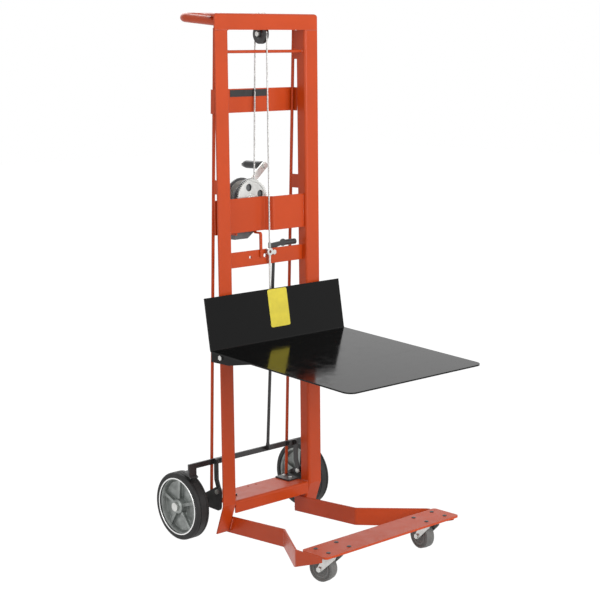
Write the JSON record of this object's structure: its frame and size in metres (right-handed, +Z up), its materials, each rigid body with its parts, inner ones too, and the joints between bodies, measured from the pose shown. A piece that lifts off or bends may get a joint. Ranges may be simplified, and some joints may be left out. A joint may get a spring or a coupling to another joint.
{
  "type": "winch lift truck",
  "caption": "Upright two-wheeled lift truck with a hand winch, cable-hung sheet-metal platform on a roller carriage, splayed caster base and wheel brake.",
  "frame": {"origin": "on the floor, under the middle of the bounding box", "axes": "+Z up the mast, -Y towards the platform and casters, +Y towards the operator and the rear wheels, +X to the right seen from the front"},
  "size_m": [0.551, 0.8317, 1.5466],
  "materials": {
    "frame_paint": "satin",
    "platform_paint": "gloss",
    "black_steel": "satin",
    "winch_paint": "satin",
    "zinc": "satin",
    "cable_steel": "satin",
    "cast_aluminium": "satin",
    "tyre_rubber": "matte",
    "caster_rubber": "matte",
    "grip_plastic": "satin"
  },
  "bodies": {
    "frame": {"left_upright": "frame_paint", "right_upright": "frame_paint", "crosshead": "frame_paint", "push_handle": "frame_paint", "spreader_rod": "frame_paint", "brace_rods": "frame_paint", "back_strap": "frame_paint", "brace_gussets": "frame_paint", "winch_plate": "frame_paint", "guide_bar": "frame_paint", "tie_strap": "frame_paint", "step_plate": "frame_paint", "left_base_rail": "frame_paint", "right_base_rail": "frame_paint", "caster_plate": "frame_paint", "caster_top_plates": "zinc", "caster_bolts": "black_steel", "sheave_bracket": "black_steel", "sheave_pin": "zinc", "winch_bracket": "frame_paint", "winch_frame": "winch_paint", "drum_shaft": "zinc", "frame_bolts": "zinc", "rear_axle": "zinc", "axle_brackets": "black_steel", "axle_collars": "zinc", "brake_pivot_bolts": "zinc", "rear_cable": "cable_steel"},
    "lift_platform": {"platform": "platform_paint", "carriage_plate": "platform_paint", "carriage_brackets": "platform_paint", "roller_bolts": "zinc", "cable_eye_bolt": "zinc", "cable_sleeve": "cast_aluminium", "front_cable": "cable_steel"},
    "upper_roller": {"upper_rollers": "zinc"},
    "lower_roller": {"lower_rollers": "zinc"},
    "top_sheave": {"sheave": "black_steel"},
    "drum": {"winch_drum": "zinc", "drum_gear": "zinc", "drum_cable": "cable_steel"},
    "crank": {"pinion_shaft": "zinc", "ratchet_wheel": "zinc", "crank_arm": "zinc", "crank_bolt": "zinc"},
    "grip": {"crank_grip": "grip_plastic"},
    "ratchet_pawl": {"pawl": "zinc"},
    "hand_lever": {"brake_lever": "black_steel"},
    "brake": {"brake_bar": "black_steel", "brake_arms": "black_steel"},
    "linkage_rod": {"brake_rod": "black_steel"},
    "left_rear_wheel": {"left_wheel": "cast_aluminium", "left_tyre": "tyre_rubber"},
    "right_rear_wheel": {"right_wheel": "cast_aluminium", "right_tyre": "tyre_rubber"},
    "left_swivel": {"left_caster_fork": "zinc"},
    "left_roll": {"left_caster_wheel": "caster_rubber"},
    "right_swivel": {"right_caster_fork": "zinc"},
    "right_roll": {"right_caster_wheel": "caster_rubber"}
  },
  "joints": [
    {"name": "lift", "type": "slide", "parent": "frame", "child": "lift_platform", "axis": [0, 0, 1], "range_m": [-0.44925, 0.44925], "deforming": ["front_cable"]},
    {"name": "upper_roller_turn", "type": "hinge", "parent": "lift_platform", "child": "upper_roller", "pos_m": [0, 0.1956, 0.692], "axis": [1, 0, 0], "range_deg": [-2340.51, 2340.51]},
    {"name": "lower_roller_turn", "type": "hinge", "parent": "lift_platform", "child": "lower_roller", "pos_m": [0, 0.1678, 0.564], "axis": [1, 0, 0], "range_deg": [-2340.51, 2340.51]},
    {"name": "sheave_turn", "type": "hinge", "parent": "frame", "child": "top_sheave", "pos_m": [0.006, 0.2152, 1.483], "axis": [1, 0, 0], "range_deg": [-1009.92, 1009.92]},
    {"name": "drum_turn", "type": "hinge", "parent": "frame", "child": "drum", "pos_m": [-0.028, 0.2392, 1.008], "axis": [0, 1, 0], "range_deg": [-1170.51, 1170.51]},
    {"name": "crank_turn", "type": "hinge", "parent": "frame", "child": "crank", "pos_m": [-0.07608, 0.2902, 0.95992], "axis": [0, 1, 0], "range_deg": [-5460.53, 5460.53]},
    {"name": "grip_turn", "type": "hinge", "parent": "crank", "child": "grip", "pos_m": [0.08, 0.3392, 1.095], "axis": [0, 1, 0], "continuous": true},
    {"name": "pawl_swing", "type": "hinge", "parent": "frame", "child": "ratchet_pawl", "pos_m": [-0.041, 0.2882, 0.946], "axis": [0, 1, 0], "range_deg": [0, 20]},
    {"name": "brake_swing", "type": "hinge", "parent": "frame", "child": "brake", "pos_m": [0, 0.2412, 0.142], "axis": [1, 0, 0], "range_deg": [-6.74, 0]},
    {"name": "rod_swing", "type": "hinge", "parent": "brake", "child": "linkage_rod", "pos_m": [0.044, 0.2537, 0.234], "axis": [1, 0, 0], "range_deg": [0, 7.76]},
    {"name": "lever_swing", "type": "hinge", "parent": "frame", "child": "hand_lever", "pos_m": [0.03, 0.2072, 0.846], "axis": [0, 1, 0], "range_deg": [0, 11.94]},
    {"name": "left_wheel_turn", "type": "hinge", "parent": "frame", "child": "left_rear_wheel", "pos_m": [-0.244, 0.3142, 0.1016], "axis": [1, 0, 0], "continuous": true},
    {"name": "right_wheel_turn", "type": "hinge", "parent": "frame", "child": "right_rear_wheel", "pos_m": [0.244, 0.3142, 0.1016], "axis": [1, 0, 0], "continuous": true},
    {"name": "left_caster_swivel", "type": "hinge", "parent": "frame", "child": "left_swivel", "pos_m": [-0.195, -0.2758, 0.08], "axis": [0, 0, 1], "continuous": true},
    {"name": "left_caster_roll", "type": "hinge", "parent": "left_swivel", "child": "left_roll", "pos_m": [-0.20124, -0.24646, 0.038], "axis": [0.9781, 0.2079, 0], "continuous": true},
    {"name": "right_caster_swivel", "type": "hinge", "parent": "frame", "child": "right_swivel", "pos_m": [0.195, -0.2758, 0.08], "axis": [0, 0, 1], "continuous": true},
    {"name": "right_caster_roll", "type": "hinge", "parent": "right_swivel", "child": "right_roll", "pos_m": [0.19814, -0.24596, 0.038], "axis": [0.9945, -0.1045, 0], "continuous": true}
  ],
  "couplings": [
    {"joint": "sheave_turn", "follows": "lift", "rad_per_m": -39.216},
    {"joint": "drum_turn", "follows": "lift", "rad_per_m": 45.455},
    {"joint": "crank_turn", "follows": "lift", "rad_per_m": -212.12},
    {"joint": "upper_roller_turn", "follows": "lift", "rad_per_m": 90.909},
    {"joint": "lower_roller_turn", "follows": "lift", "rad_per_m": -90.909},
    {"joint": "rod_swing", "follows": "brake_swing", "ratio": -1.1489},
    {"joint": "lever_swing", "follows": "brake_swing", "ratio": -1.7695}
  ]
}
